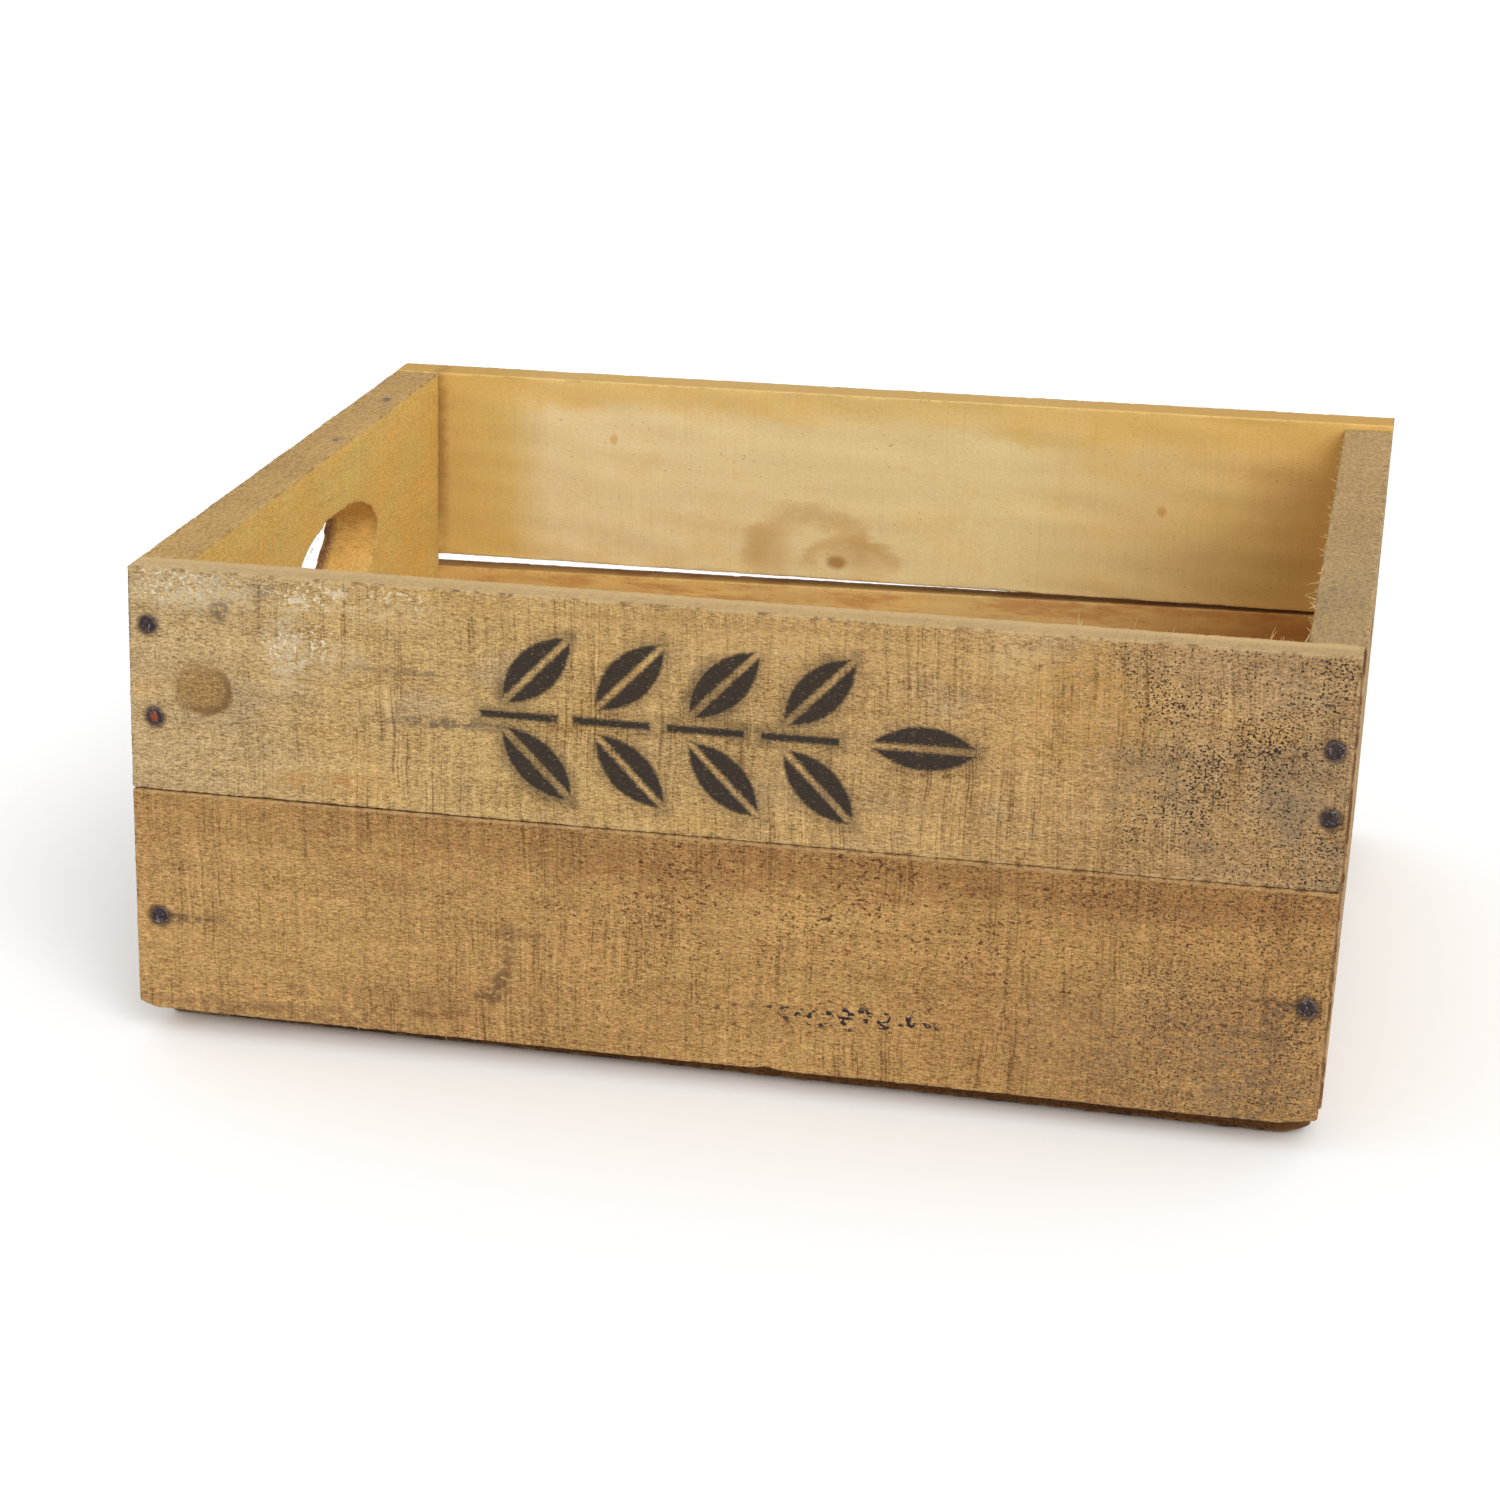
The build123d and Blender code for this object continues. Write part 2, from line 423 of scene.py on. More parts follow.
def build_spot(r, given):
    """A soft round or long mark: 1 at its centre and 0 past its edge, which wobbles."""
    offset = r.vector("SUBTRACT", given["Position"], given["Centre"])
    away = r.vector("LENGTH", r.vector("DIVIDE", offset, given["Reach"]))
    wobble = r.minus(r.noise(given["Position"], (9, 9, 6), 3.0, 0.6), 0.5)
    away = r.total(away, r.times(wobble, given["Wobble"]))
    soft = given["Softness"]
    return {"Mask": r.band(away, r.maths("ADD", 1.0, soft), r.minus(1.0, soft)), "Away": away}


def build_specks(r, given):
    """Scattered specks of uneven shape, a little longer along the grain (X) than across it."""
    share = r.maths("DIVIDE", 1.0, given["Size"])
    scaled = r.add("VectorMath", {0: given["Position"], "Scale": share}, operation="SCALE").outputs[0]
    lumps = r.noise(scaled, (1.0, 1.0, 0.72), 1.0, 0.5)
    drift = r.noise(given["Position"], (24, 24, 18), 2.0)
    low = r.minus(given["Level"], r.swing(drift, 0.22))
    return {"Mask": r.band(lumps, low, r.maths("ADD", low, 0.05))}


def build_leaf(r, given):
    """How far a point is outside a leaf: two arcs that meet at its foot and tip, split by its rib."""
    offset = r.vector("SUBTRACT", given["Position"], given["Middle"])
    turn = {"Vector": offset, "Angle": given["Angle"]}
    turned = r.add("VectorRotate", turn, rotation_type="Y_AXIS").outputs[0]
    parts = r.add("SeparateXYZ", {0: turned}).outputs
    across = r.maths("ABSOLUTE", parts["Z"])
    width = r.maths("ADD", across, given["Arc Offset"])
    reach = r.maths("SQRT", r.total(r.times(parts["X"], parts["X"]), r.times(width, width)))
    edge = r.minus(reach, given["Arc Radius"])
    rib = r.minus(given["Rib"], across)
    return {"Distance": r.maths("MAXIMUM", edge, rib)}


SAWN_GRAIN = effect(
    "sawn_grain",
    {"Position": "vector", "Ground": "colour", "Contrast": "value", "Saw": "value", "Streaks": "value",
     "Patches": "value"},
    {"Colour": "colour", "Height": "value"},
    build_sawn_grain,
)
SAW_MARKS = effect(
    "saw_marks",
    {"Position": "vector", "Amount": "value"},
    {"Mask": "value", "Height": "value"},
    build_saw_marks,
)
SPOT = effect(
    "spot",
    {"Position": "vector", "Centre": "vector", "Reach": "vector", "Softness": "value", "Wobble": "value"},
    {"Mask": "value", "Away": "value"},
    build_spot,
)
SPECKS = effect(
    "specks",
    {"Position": "vector", "Size": "value", "Level": "value"},
    {"Mask": "value"},
    build_specks,
)
LEAF = effect(
    "stencil_leaf",
    {"Position": "vector", "Middle": "vector", "Angle": "value", "Arc Radius": "value",
     "Arc Offset": "value", "Rib": "value"},
    {"Distance": "value"},
    build_leaf,
)


class Timber(Recipe):
    """A board's material: a ground colour, then stains, marks and paint laid over it one by one.

    Places are in millimetres in the crate's frame; grain "Y" turns the pattern along the crate's depth."""

    def __init__(self, name, grain="X"):
        self.material = bpy.data.materials.new(name)
        self.material.use_nodes = True
        super().__init__(self.material.node_tree)
        self.shader = self.tree.nodes["Principled BSDF"]
        own = self.add("TexCoord", {}).outputs["Object"]
        scale = {"Vector": own, "Scale": (1000.0, 1000.0, 1000.0)}
        self.place = self.add("Mapping", scale).outputs[0]
        self.along = self.place
        if grain == "Y":
            turn = {"Vector": self.place, "Rotation": (0.0, 0.0, math.pi / 2)}
            self.along = self.add("Mapping", turn).outputs[0]
        parts = self.add("SeparateXYZ", {0: self.place}).outputs
        self.x = parts["X"]
        self.y = parts["Y"]
        self.z = parts["Z"]
        self.arris = self.value("arris")
        self.end_grain = self.value("end_grain")
        self.colour = None
        self.heights = []
        self.only = None        # a mask: what is laid over the ground stays within it

    def value(self, label):
        return self.add("Attribute", {}, attribute_name=label).outputs["Fac"]

    def ground(self, colour, contrast=1.0, saw=1.0, streaks=0.5, patches=0.35):
        grain = self.use(SAWN_GRAIN, Position=self.along, Ground=colour, Contrast=contrast, Saw=saw,
                         Streaks=streaks, Patches=patches)
        self.colour = grain["Colour"]
        self.heights.append(grain["Height"])

    def over(self, mask, colour, way="MIX"):
        if self.only is not None:
            mask = self.times(mask, self.only)
        self.colour = self.mix(mask, self.colour, colour, way)

    def lay(self, colour, *masks):
        """Lays a colour, given as it looks, where all the masks are."""
        self.over(self.times(*masks), tint(*colour))

    def saw_marks(self, amount):
        marks = self.use(SAW_MARKS, Position=self.along, Amount=amount)
        self.over(marks["Mask"], (0.50, 0.42, 0.34, 1.0), "MULTIPLY")
        self.heights.append(marks["Height"])

    def mark(self, centre, reach, softness=0.5, wobble=0.8):
        """A round or long mark: its mask, and how far each point is from its centre as a share of reach."""
        return self.use(SPOT, Position=self.place, Centre=centre, Reach=reach, Softness=softness,
                        Wobble=wobble)

    def spot(self, *settings):
        return self.mark(*settings)["Mask"]

    def stains(self, face, rows):
        """Broken marks on a face across Y: each row is x, z, reach along X and Z, strength and colour."""
        broken = self.band(self.noise(self.place, (3.6, 3.6, 2.2), 3.0, 0.75), 0.38, 0.60)
        for x, z, long, high, strength, colour in rows:
            mask = self.spot((x, face, z), (long, THROUGH, high))
            self.lay(colour, mask, broken, strength)

    def dots(self, size, level):
        return self.use(SPECKS, Position=self.place, Size=size, Level=level)["Mask"]

    def specks(self, size, level, share, colour):
        self.lay(colour, self.dots(size, level), share)

    def end_rings(self):
        """End grain: darker, with the curved edges of the growth rings."""
        spread = self.vector("MULTIPLY", self.along, (0.15, 1.0, 1.0))
        rings = self.noise(spread, (30, 5, 1.6), 2.0)
        pores = self.noise(self.along, (0.6, 0.6, 0.6), 2.0, 0.7)
        shade = self.band(self.total(rings, self.times(pores, 0.6)), 0.55, 1.05)
        tone = self.mix(shade, (0.42, 0.36, 0.30, 1.0), (0.95, 0.92, 0.88, 1.0))
        self.over(self.end_grain, tone, "MULTIPLY")

    def arris_wear_and_highlight(self, reach, light, dark, amount):
        """Arrises: paler in broken stretches, partly torn fibres and partly painted highlight where they
        catch the light; darker where dirt has settled.
        """
        rough = self.noise(self.place, (5, 5, 5), 3.0, 0.7)
        near = self.band(self.arris, reach, 0.0)
        worn = self.times(near, self.band(rough, 0.45, 0.62))
        dirty = self.times(near, self.band(rough, 0.50, 0.36))
        self.lay(light, worn, amount)
        self.lay(dark, dirty, amount)

    def nail_halos(self, board, reach=4.0):
        """Dark rust stains in the wood round each nail head of a side board."""
        for end in ("left", "right"):
            for middle in nail_middles(f"{board}_{end}_nails"):
                centre = lean(middle[None])[0] / MM
                mask = self.spot(tuple(centre), (reach, THROUGH, reach), 0.25, 0.5)
                self.lay((58, 42, 34), mask, 0.7)

    def nail_streak(self, x, z, long):
        """A dark stain drawn out along the grain from a nail."""
        mask = self.spot((x, FRONT_FACE, z), (long, THROUGH, 1.6), 0.8, 1.6)
        broken = self.band(self.noise(self.place, (2.4, 2.4, 1.2), 2.0, 0.6), 0.36, 0.56)
        self.lay((74, 54, 42), mask, broken, 0.7)

    def done(self, roughness=0.78):
        self.lay((232, 202, 142), self.value("torn_fibre"))
        relief = {"Height": self.total(*self.heights), "Strength": 1.0, "Distance": MM}
        self.feed(self.shader.inputs["Normal"], self.add("Bump", relief).outputs[0])
        self.feed(self.shader.inputs["Base Color"], self.colour)
        self.feed(self.shader.inputs["Roughness"], roughness)
        self.feed(self.shader.inputs["Specular IOR Level"], 0.25)
        return self.material


def sprig(wood):
    """How far each point of the front is outside the stencilled sprig, in millimetres.

    Pairs of leaves lean forward along a straight stem cut into dashes, with one leaf at its tip."""
    level = 127.0
    distance = None
    shapes = [(84.0 - 17.0, level, 0.0, 36.0, 15.0)]
    for number in range(4):
        x = -60.0 + 31.0 * number
        for side in (1, -1):
            shapes.append((x, level + side * 16.0, side * 0.80, 33.0, 15.0))
    for x, z, angle, length, width in shapes:
        half = length / 2
        bulge = width / 2
        radius = (half ** 2 + bulge ** 2) / (2 * bulge)
        leaf = wood.use(LEAF, Position=wood.place, Middle=(x, 0.0, z), Angle=angle, Arc_Radius=radius,
                        Arc_Offset=radius - bulge, Rib=0.9)["Distance"]
        distance = leaf if distance is None else wood.maths("MINIMUM", distance, leaf)
    for number in range(4):
        middle = -66.0 + 31.0 * number
        beyond = wood.minus(wood.maths("ABSOLUTE", wood.minus(wood.x, middle)), 13.0)
        above = wood.maths("ABSOLUTE", wood.minus(wood.z, level))
        dash = wood.maths("MAXIMUM", beyond, wood.minus(above, 1.5))
        distance = wood.maths("MINIMUM", distance, dash)
    return distance


def stencil_paint(wood):
    """Black paint sprayed through the stencil: firm edges, a little mist, bare pits in the wood."""
    distance = sprig(wood)
    fine = wood.noise(wood.place, (1.1, 1.1, 0.7), 3.0, 0.7)
    slow = wood.noise(wood.place, (26, 26, 20), 2.0)
    frayed = wood.total(distance, wood.swing(fine, 1.8))
    paint = wood.band(frayed, 0.9, -0.9)
    mist = wood.times(wood.band(frayed, 5.0, -0.5), wood.band(slow, 0.35, 0.65, 0.10, 0.60))
    bare = wood.band(fine, 0.74, 0.58, 0.55, 0.98)
    wood.lay((46, 38, 31), wood.maths("MAXIMUM", paint, mist), bare)


def knot(wood, x, z, long, high, rim, heart):
    """A round knot: rings about its heart, a darker rim and fine checks."""
    spot = wood.mark((x, FRONT_FACE, z), (long, THROUGH, high), 0.38, 0.50)
    swirl = wood.total(spot["Away"], wood.times(wood.noise(wood.place, (5, 5, 5), 2.0), 0.5))
    rings = wood.maths("SINE", wood.times(swirl, 24.0))
    wood.lay(heart, spot["Mask"], 0.15)
    wood.over(spot["Mask"], (0.80, 0.72, 0.55, 1.0), "MULTIPLY")
    wood.lay(rim, spot["Mask"], wood.band(rings, 0.1, 0.9, 0.0, 0.28))
    edge = wood.times(wood.band(spot["Away"], 0.66, 0.95), wood.band(spot["Away"], 1.18, 0.98))
    side = wood.total(wood.minus(wood.x, x), wood.minus(z, wood.z))
    wood.lay(rim, edge, wood.band(side, -8, 8, 0.15, 0.85))
    checks = wood.noise(wood.place, (0.9, 0.9, 0.9), 2.0, 0.7)
    wood.lay((104, 74, 42), spot["Mask"], wood.band(checks, 0.44, 0.36, 0.0, 0.6))


def front_side(wood):
    """1 on a front board's outer face and 0 on its inner one."""
    return wood.band(wood.y, FRONT_FACE + 9, FRONT_FACE + 5)


def front_upper_pine():
    wood = Timber("front_upper_pine")
    base = wood.ramp(wood.x, [
        (-200, tint(184, 156, 109)),
        (-130, tint(184, 152, 98)),
        (-60, tint(186, 152, 95)),
        (20, tint(180, 145, 91)),
        (110, tint(178, 141, 88)),
        (200, tint(168, 134, 90)),
    ])
    warm = wood.noise(wood.place, (48, 48, 20), 3.0, 0.6)
    base = wood.mix(wood.band(warm, 0.52, 0.72, 0.0, 0.45), base, tint(190, 146, 76))
    base = wood.mix(wood.band(warm, 0.46, 0.28, 0.0, 0.45), base, tint(160, 138, 108))
    outside = front_side(wood)
    base = wood.mix(outside, tint(206, 170, 112), base)
    wood.ground(base, contrast=wood.band(outside, 0.0, 1.0, 0.5, 1.0),
                saw=wood.band(wood.x, -190, -110, 0.5, 1.1))
    wood.only = outside
    wood.stains(FRONT_FACE, [
        (-174, 161, 22, 6, 0.45, (212, 198, 170)),
        (-144, 143, 7, 12, 0.45, (212, 198, 170)),
        (-128, 141, 12, 6, 0.30, (210, 194, 162)),
        (-118, 159, 24, 5, 0.30, (208, 186, 142)),
        (-167, 154.5, 3.5, 4.0, 0.80, (112, 92, 72)),
        (-151.5, 161, 3.0, 3.5, 0.70, (122, 100, 76)),
        (-126, 164, 3.0, 1.8, 0.60, (228, 216, 190)),
        (-140, 160.5, 2.5, 1.8, 0.60, (228, 216, 190)),
        (-88, 122, 24, 1.8, 0.80, (104, 88, 72)),
        (-104, 139, 18, 1.2, 0.60, (120, 98, 76)),
        (-132, 98, 18, 3.6, 0.65, (184, 132, 70)),
        (30, 108, 34, 5, 0.40, (142, 122, 96)),
        (96, 160, 10, 9, 0.60, (208, 180, 128)),
        (-20, 163, 60, 2.0, 0.45, (142, 102, 58)),
        (0, 157, 95, 8, 0.40, (210, 170, 108)),
        (118, 148, 22, 16, 0.40, (200, 150, 74)),
        (184, 126, 9, 14, 0.30, (120, 100, 76)),
    ])
    white_flecks(wood)
    knot(wood, -174.0, 127, 9.6, 8.2, (118, 84, 48), (160, 124, 72))
    left_calm = wood.band(wood.x, -150, -60, 0.30, 0.80)
    wood.saw_marks(wood.times(left_calm, wood.band(wood.x, 95, 130, 1.0, 0.35)))
    wood.specks(1.9, 0.74, 0.8, (84, 56, 32))
    wood.specks(1.0, 0.70, 0.7, (96, 66, 38))
    wood.specks(1.3, 0.70, 0.6, (216, 186, 130))
    mould(wood)
    stencil_paint(wood)
    wood.nail_halos("front_upper")
    wood.only = None
    top = wood.band(wood.z, RIM - 1.0, RIM - 0.1)
    wood.lay((202, 172, 120), top, 0.65)
    wood.arris_wear_and_highlight(1.8, (200, 172, 124), (104, 76, 48), 0.7)
    wood.end_rings()
    return wood.done()


def white_flecks(wood):
    """Pale crumbs of torn wood, gathered along the top of the front board's left end."""
    flecks = wood.dots(1.6, 0.60)
    patches = ((-190, 163, 7, 6), (-172, 164, 16, 5), (-146, 144, 8, 7), (-134, 147, 5, 6),
               (-106, 164, 12, 5), (-136, 162, 14, 5))
    for x, z, long, high in patches:
        patch = wood.spot((x, FRONT_FACE, z), (long, THROUGH, high))
        wood.lay((230, 218, 190), patch, flecks, 0.75)


def mould(wood):
    """Mould on the right fifth of the front: a grey cast in clouds, thick with tiny dark specks."""
    edge = wood.noise(wood.place, (14, 14, 14), 3.0, 0.6)
    edge = wood.total(wood.x, wood.times(edge, 26.0))
    zone = wood.band(edge, 134, 144)
    clouds = wood.noise(wood.place, (20, 20, 13), 3.0, 0.6)
    low = wood.band(wood.z, 140, 118)
    lower = wood.maths("MULTIPLY_ADD", low, 0.7, 0.3)
    grey = wood.times(wood.band(clouds, 0.44, 0.66, 0.0, 0.45), lower)
    wood.lay((122, 108, 88), zone, grey)
    wood.lay((150, 104, 54), zone, wood.band(clouds, 0.47, 0.30, 0.0, 0.40))
    tiny = wood.dots(0.95, 0.59)
    small = wood.dots(1.4, 0.645)
    dots = wood.maths("MAXIMUM", tiny, wood.times(small, 0.85))
    wood.lay((44, 32, 25), zone, dots, wood.band(clouds, 0.28, 0.50, 0.55, 1.0))


def front_lower_pine():
    wood = Timber("front_lower_pine")
    base = wood.ramp(wood.x, [
        (-200, tint(182, 142, 86)),
        (-60, tint(177, 137, 81)),
        (80, tint(174, 133, 77)),
        (200, tint(170, 128, 74)),
    ])
    warm = wood.noise(wood.place, (60, 48, 24), 3.0, 0.6)
    base = wood.mix(wood.band(warm, 0.50, 0.70, 0.0, 0.50), base, tint(192, 152, 90))
    base = wood.mix(wood.band(warm, 0.48, 0.28, 0.0, 0.40), base, tint(158, 112, 66))
    outside = front_side(wood)
    base = wood.mix(outside, tint(204, 164, 106), base)
    wood.ground(base, contrast=wood.band(outside, 0.0, 1.0, 0.5, 1.02), streaks=0.35, patches=0.3)
    wood.only = outside
    top = wood.band(wood.z, 72, 86)
    wood.over(wood.times(top, 0.60), (0.70, 0.62, 0.54, 1.0), "MULTIPLY")
    wood.stains(FRONT_FACE, [
        (-60, 76, 120, 7, 0.30, (140, 86, 44)),
        (60, 80, 130, 6, 0.30, (134, 86, 46)),
        (-70.5, 44, 2.2, 9, 0.65, (104, 76, 52)),
        (-73, 32, 3.2, 6, 0.80, (96, 68, 46)),
        (-78, 26, 5, 3, 0.75, (96, 68, 46)),
        (-108, 18, 16, 1.6, 0.60, (120, 78, 44)),
        (-146, 22, 3.5, 2.5, 0.70, (122, 80, 50)),
        (-68, 50, 10, 2, 0.55, (104, 70, 44)),
        (150, 30, 46, 26, 0.34, (124, 104, 80)),
        (175, 22, 20, 18, 0.34, (108, 90, 74)),
        (181, 43, 7, 8, 0.45, (100, 80, 60)),
        (-150, 13, 46, 3.5, 0.60, (116, 84, 54)),
        (-110, 20, 26, 6, 0.35, (126, 88, 54)),
    ])
    wood.saw_marks(wood.band(wood.x, -150, -40, 0.20, 0.55))
    crowded = wood.times(wood.band(wood.x, -130, -20, 0.35, 1.0),
                         wood.band(wood.z, 10, 60, 0.6, 1.0))
    wood.specks(2.2, 0.675, wood.times(crowded, 0.9), (84, 48, 24))
    wood.specks(1.3, 0.650, wood.times(crowded, 0.85), (96, 56, 28))
    wood.specks(1.2, 0.70, 0.6, (208, 174, 122))
    right = wood.band(wood.x, 110, 150)
    tiny = wood.dots(1.0, 0.59)
    wood.lay((60, 41, 31), right, tiny, 0.9)
    ink = wood.spot((44, FRONT_FACE, 31.5), (30, THROUGH, 4.4), 0.3, 1.2)
    dots = wood.dots(2.4, 0.56)
    wood.lay((42, 34, 40), ink, dots)
    wood.nail_streak(-181, 44.5, 12)
    wood.nail_streak(182, 51, 11)
    wood.nail_halos("front_lower", 4.6)
    wood.only = None
    # Painted highlight: a pale line just under the lower board's top arris, standing for the light it
    # catches.
    crest_highlight = wood.times(wood.band(wood.z, LOWER_CREST - 1.3, LOWER_CREST - 0.7),
                       wood.band(wood.z, LOWER_CREST + 0.1, LOWER_CREST - 0.3))
    wood.lay((208, 172, 120), crest_highlight, 0.35)
    wood.arris_wear_and_highlight(1.4, (196, 160, 112), (88, 62, 42), 0.6)
    wood.end_rings()
    return wood.done()


def back_pine(name, board, outer_face, ramp, inner_knot=False):
    """The back boards: smooth, pale and yellow inside the crate, weathered outside; the top face takes the
    inside's colour, darkened as painted shade.
    """
    wood = Timber(name)
    outer = wood.band(wood.y, outer_face - 1.2, outer_face - 0.4)
    patches = wood.noise(wood.place, (34, 30, 18), 3.0, 0.6)
    inside = wood.ramp(wood.x, ramp)
    inside = wood.mix(wood.band(patches, 0.48, 0.70, 0.0, 0.35), inside, tint(*ORANGE))
    top = wood.band(wood.total(wood.z, wood.times(patches, 16.0)), 160, 172)
    inside = wood.mix(wood.times(top, 0.7), inside, tint(*ORANGE))
    if not inner_knot:
        mottled = wood.noise(wood.place, (26, 30, 5), 3.0, 0.65)
        inside = wood.mix(wood.band(mottled, 0.44, 0.64, 0.0, 0.6), inside, tint(196, 132, 70))
    outer = wood.maths("MAXIMUM", outer, wood.end_grain)
    ground = wood.mix(outer, inside, tint(172, 140, 98))
    contrast = wood.band(outer, 0.0, 1.0, 0.12, 0.95)
    # Painted shade: the top face is darkened so that it looks no brighter than the inside under the light
    # from above.
    shaded_top_face = wood.times(wood.band(wood.y, BACK_INNER + 0.5, BACK_INNER + 1.1),
                          wood.minus(1.0, outer))
    ground = wood.mix(shaded_top_face, ground, wood.mix(1.0, ground, (0.70, 0.63, 0.52, 1.0), "MULTIPLY"))
    wood.ground(ground, contrast=contrast, saw=1.0, streaks=0.7, patches=0.7)
    if inner_knot:
        wood.only = wood.minus(1.0, outer)
        back_knot(wood)
        # A darker orange-brown strip down the inner face at its left corner, against the end panel.
        stain = wood.spot((-180.8, BACK_INNER, 138), (2.8, THROUGH, 36), 0.9, 1.8)
        wood.lay((160, 110, 54), stain, 0.7)
        wood.only = None
    wood.saw_marks(wood.band(outer, 0.0, 1.0, 0.10, 0.8))
    wood.specks(1.5, 0.750, 0.5, (128, 88, 48))
    wood.arris_wear_and_highlight(1.4, (206, 168, 108), (134, 100, 60), 0.30)
    wood.only = outer
    wood.nail_halos(board)
    wood.only = None
    wood.end_rings()
    return wood.done()


def back_knot(wood):
    """The knot inside the upper back board: two arches of grain over its dark heart."""
    for x, z, long, high, strength in ((-25, 96, 29, 27, 0.36), (-9, 98, 21, 13, 0.45)):
        arch = wood.mark((x, BACK_INNER, z), (long, THROUGH, high), 0.4, 0.6)["Away"]
        ring = wood.times(wood.band(arch, 0.48, 0.82), wood.band(arch, 1.15, 0.88))
        above = wood.band(wood.z, z - 4, z + 4)
        wood.lay((202, 152, 74), ring, above, strength)
    marks = (
        (-43, 101, 9, 12, 0.40, (208, 162, 88)),
        (-14.5, 100, 3.8, 2.6, 0.80, (168, 116, 50)),
        (-10, 103, 8.0, 5.0, 0.35, (184, 140, 74)),
        (-107, 145, 1.6, 2.0, 0.55, (222, 160, 70)),
        (115, 130, 1.8, 2.0, 0.60, (204, 134, 52)),
        # The next two marks are broad darkening near the right corner: painted corner shade.
        (150, 110, 26, 15, 0.22, (182, 134, 78)),
        (160, 142, 12, 16, 0.22, (190, 142, 82)),
    )
    for x, z, long, high, strength, colour in marks:
        mark = wood.spot((x, BACK_INNER, z), (long, THROUGH, high), 0.5, 0.7)
        wood.lay(colour, mark, strength)


def end_pine():
    """The end panels: smooth and yellow inside and in the hand hole, greyer and darker on top as painted
    shade, weathered outside.
    """
    wood = Timber("end_pine", "Y")
    leaning = wood.times(wood.minus(wood.z, LEAN_LEVEL / MM), LEAN)
    side = wood.maths("ABSOLUTE", wood.minus(wood.x, leaning))
    outer = wood.band(side, 196.5, 199.0)
    top = wood.band(wood.z, RIM - 1.0, RIM - 0.2)
    patches = wood.noise(wood.place, (30, 40, 24), 3.0, 0.6)
    weathered = wood.mix(wood.band(patches, 0.35, 0.65), tint(166, 138, 98), tint(182, 144, 90))
    inside = wood.mix(wood.band(patches, 0.25, 0.75), tint(226, 194, 110), tint(234, 188, 98))
    ground = wood.mix(outer, inside, weathered)
    # Painted shade: each panel's top gets its own greyer, darker tone, to offset the strong light that
    # falls on the tops.
    left_top = wood.mix(patches, tint(189, 152, 88), tint(179, 143, 84))
    right_top = wood.mix(patches, tint(184, 148, 91), tint(174, 142, 92))
    shaded_top_colour = wood.mix(wood.band(wood.x, -1, 1), left_top, right_top)
    ground = wood.mix(top, ground, shaded_top_colour)
    rough = wood.maths("MAXIMUM", outer, wood.times(top, 0.40))
    wood.ground(ground, contrast=wood.band(rough, 0.0, 1.0, 0.42, 1.0), saw=0.5, streaks=0.5)
    wood.saw_marks(wood.band(rough, 0.0, 1.0, 0.05, 0.6))
    wood.specks(1.5, 0.765, 0.55, (104, 74, 44))
    near_right = wood.times(wood.band(wood.x, 100, 150), wood.band(wood.y, 30, -90, 0.25, 1.0))
    dots = wood.dots(1.3, 0.62)
    wood.lay((92, 82, 64), dots, near_right, top, 0.60)
    wood.lay((140, 128, 98), near_right, top, 0.25)
    broken = wood.band(wood.noise(wood.place, (2.5, 2.5, 2.5), 2.0, 0.7), 0.36, 0.54)
    for x, y, long in ((-187, 87, 4.0), (-185, 24, 3.0), (-199, 61, 3.0)):
        mark = wood.spot((x, y, RIM), (2.2, long, 3), 0.5, 1.4)
        wood.lay((96, 84, 84), mark, broken, 0.8)
    wood.over(wood.times(wood.value("hole_wall"), 0.8), (0.93, 0.80, 0.74, 1.0), "MULTIPLY")
    lip = wood.times(wood.band(side, 197.5, 199.3), wood.value("hole_wall"))
    wood.lay((128, 84, 44), lip, 0.55)
    front_edge = wood.times(wood.band(wood.y, PANEL_FRONT + 0.4, PANEL_FRONT + 0.1),
                            wood.band(side, 190, 192))
    wood.lay((112, 66, 34), front_edge, 0.9)
    wood.arris_wear_and_highlight(1.6, (206, 174, 122), (128, 96, 58), 0.55)
    wood.end_rings()
    return wood.done()


def floor_pine():
    wood = Timber("floor_pine")
    wood.ground(tint(196, 148, 88), streaks=0.9, patches=0.9)
    # Painted shade: the front floor board's front edge, under the lower front board, is darkened to deep
    # brown.
    under = wood.band(wood.y, -126, -129)
    wood.over(wood.times(under, 0.95), (0.19, 0.125, 0.06, 1.0), "MULTIPLY")
    wood.saw_marks(0.8)
    wood.specks(1.8, 0.75, 0.7, (80, 56, 36))
    wood.arris_wear_and_highlight(1.6, (172, 138, 94), (76, 56, 40), 0.6)
    wood.end_rings()
    return wood.done()


